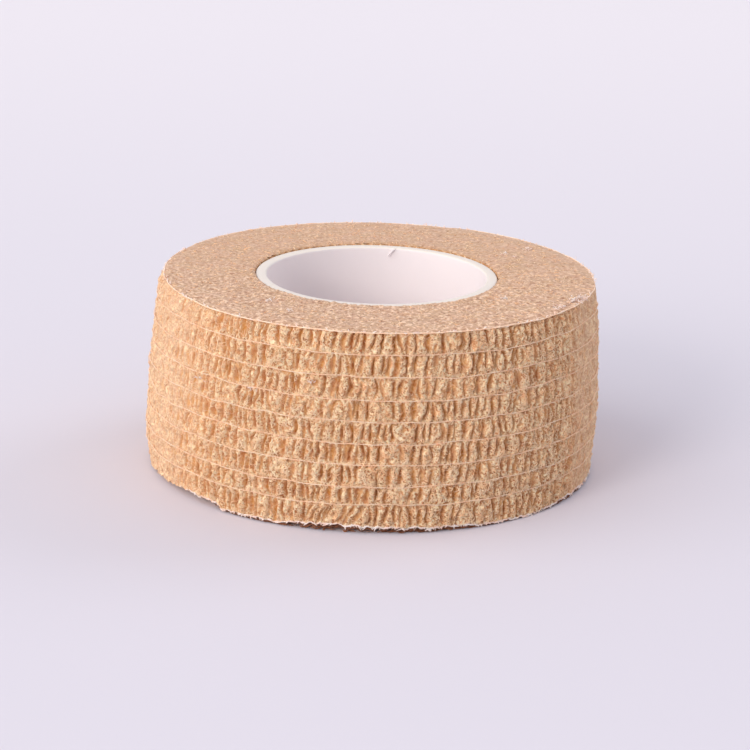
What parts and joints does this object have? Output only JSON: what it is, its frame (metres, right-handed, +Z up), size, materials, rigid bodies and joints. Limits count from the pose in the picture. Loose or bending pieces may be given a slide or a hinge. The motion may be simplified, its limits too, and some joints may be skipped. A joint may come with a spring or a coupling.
{
  "type": "cohesive bandage roll",
  "caption": "Narrow roll of tan self-adhering crepe bandage wound on a short white plastic core tube, standing on its end.",
  "frame": {"origin": "on the core's axis, in the plane of the core's lower end that the roll stands on", "axes": "+Z up along the core's axis; -Y is the front in the picture and +X its right; the strip's cut end lies at the back"},
  "size_m": [0.0596, 0.0593, 0.0256],
  "materials": {
    "crepe_cloth": "tan crepe nonwoven, dry and fibrous, with fine pale elastic threads",
    "core_plastic": "warm white moulded plastic with a soft gloss"
  },
  "bodies": {
    "root": {"wound_bandage": "crepe_cloth", "core_tube": "core_plastic"}
  },
  "joints": []
}
